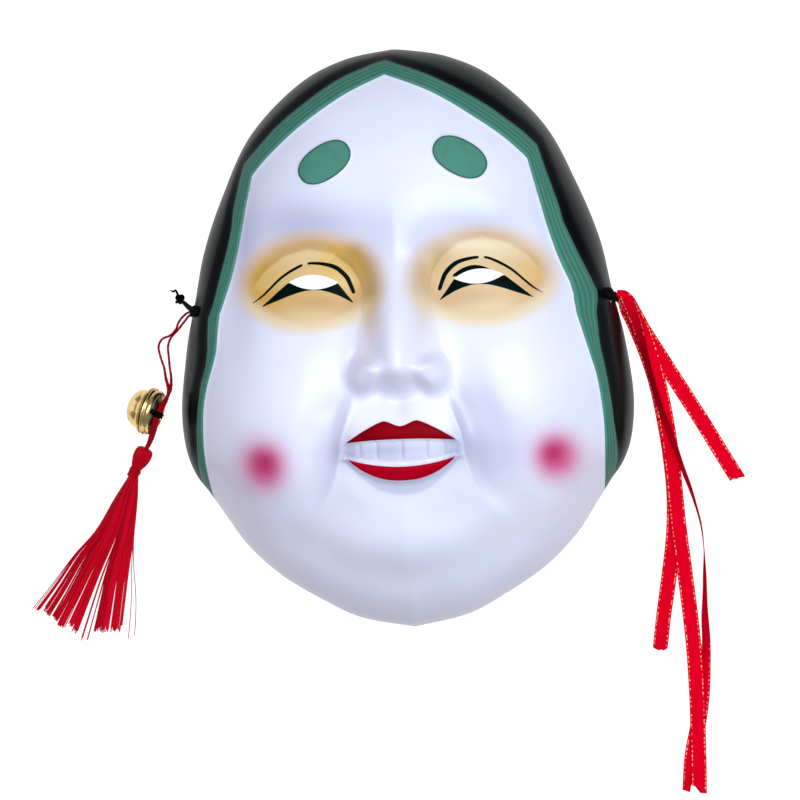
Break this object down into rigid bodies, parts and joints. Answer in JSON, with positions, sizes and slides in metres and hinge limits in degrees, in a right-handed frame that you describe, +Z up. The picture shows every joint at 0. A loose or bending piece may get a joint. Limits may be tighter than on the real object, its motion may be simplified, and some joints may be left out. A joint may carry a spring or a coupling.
{
  "type": "festival mask",
  "caption": "Moulded plastic folk mask of a smiling round face with painted hair, eye slits, an elastic, a cord with bell and tassel, and ribbon tails.",
  "frame": {"origin": "centre of the mask shell's rim on the surface that the mask lies on", "axes": "+Z up out of the face, +Y towards the top of the head, +X towards the viewer's right, where the ribbons hang"},
  "size_m": [0.2782, 0.2935, 0.0739],
  "materials": {
    "painted_shell": "pearl white gloss paint on moulded plastic",
    "black_elastic": "braided round elastic",
    "red_cord": "twisted cord",
    "bell_brass": "polished",
    "black_thread": "matt thread",
    "red_silk": "rayon thread",
    "red_ribbon": "satin with gold stitching"
  },
  "bodies": {
    "root": {"mask_shell": "painted_shell", "head_elastic": "black_elastic", "elastic_hitch_left": "black_elastic", "elastic_hitch_right": "black_elastic", "elastic_tail_left": "black_elastic", "stopper_knot": "black_elastic", "strand_upper": "red_cord", "strand_lower": "red_cord", "bell_bowl": "bell_brass", "bell_cap": "bell_brass", "bell_shank": "bell_brass", "bell_tie": "black_thread", "tassel_head": "red_silk", "tassel_binding": "red_silk", "tassel_skirt": "red_silk", "ribbon_short": "red_ribbon", "ribbon_long": "red_ribbon", "ribbon_frayed": "red_ribbon", "ribbon_twisted": "red_ribbon"}
  },
  "joints": []
}
